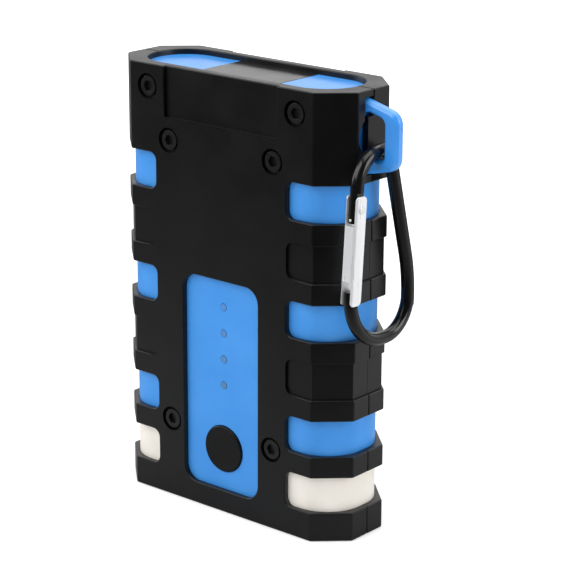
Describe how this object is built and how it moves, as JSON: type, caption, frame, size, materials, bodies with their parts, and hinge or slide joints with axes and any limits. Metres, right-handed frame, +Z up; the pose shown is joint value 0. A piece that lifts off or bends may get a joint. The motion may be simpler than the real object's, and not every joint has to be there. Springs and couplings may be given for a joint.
{
  "type": "jump starter pack",
  "caption": "Rugged battery pack with an armoured case, lantern band, control panel with push button, lanyard loop and a gated carabiner.",
  "frame": {"origin": "centre of the case's outline on the plane that its base rim stands on; the loop and carabiner at the right are not counted", "axes": "+Z up along the case's height, +X to the loop's side, +Y into the depth, away from the face with the control panel"},
  "size_m": [0.1226, 0.0387, 0.165],
  "materials": {
    "armour": "fine matt moulded texture",
    "housing": "smooth satin blue",
    "black_panel": "satin black",
    "light_pipe": "frosted clear",
    "button": "soft black",
    "diffuser": "milky white",
    "black_steel": "black oxide",
    "plain_steel": "bright brushed",
    "spring_steel": "spring temper",
    "black_metal": "satin black anodised",
    "brass": "machined",
    "copper": "tinned copper strip",
    "nickel": "nickel plated",
    "circuit_board": "green solder mask",
    "lantern_board": "white solder mask",
    "component": "moulded black",
    "aluminium_can": "plain can",
    "led": "clear over phosphor",
    "cell_foil": "grey pouch foil",
    "foam": "closed cell foam"
  },
  "bodies": {
    "root": {"front_armour": "armour", "back_armour": "armour", "armour_screws": "black_steel", "screw_inserts": "brass", "housing_sleeve": "housing", "top_cap": "housing", "cap_plate": "black_panel", "bottom_panel": "housing", "control_panel": "housing", "light_pipe": "light_pipe", "control_board": "circuit_board", "board_screws": "plain_steel", "power_switch": "component", "indicator_leds": "led", "battery_cell_front": "cell_foil", "battery_cell_middle": "cell_foil", "battery_cell_back": "cell_foil", "cell_tabs": "nickel", "protection_board": "circuit_board", "foam_back": "foam", "foam_front_left": "foam", "foam_front_right": "foam", "negative_strap": "copper", "positive_strap": "copper", "output_socket": "black_panel", "output_blades": "brass", "main_board": "circuit_board", "usb_shell_left": "nickel", "usb_tongue_left": "component", "usb_shell_right": "nickel", "usb_tongue_right": "component", "charge_port": "nickel", "power_coil": "component", "storage_cans": "aluminium_can", "left_diffuser": "diffuser", "left_lantern_board": "lantern_board", "left_lantern_leds": "led", "right_diffuser": "diffuser", "right_lantern_board": "lantern_board", "right_lantern_leds": "led", "lanyard_loop": "housing"},
    "button": {"power_button": "button"},
    "carabiner": {"carabiner_body": "black_metal"},
    "gate": {"carabiner_gate": "plain_steel", "gate_rivet": "plain_steel", "gate_spring": "spring_steel"}
  },
  "joints": [
    {"name": "button_press", "type": "slide", "parent": "root", "child": "button", "axis": [0, 1, 0], "range_m": [0, 0.0006], "stiffness_N_per_m": 1500, "springref_m": -0.0008},
    {"name": "carabiner_swing", "type": "hinge", "parent": "root", "child": "carabiner", "pos_m": [0.0588, -0.00228, 0.13902], "axis": [1, 0, 0], "range_deg": [-110, 120]},
    {"name": "gate_open", "type": "hinge", "parent": "carabiner", "child": "gate", "pos_m": [0.0588, -0.01462, 0.12627], "axis": [1, 0, 0], "range_deg": [0, 28], "stiffness_Nm_per_rad": 0.03, "springref_deg": -28.65}
  ]
}
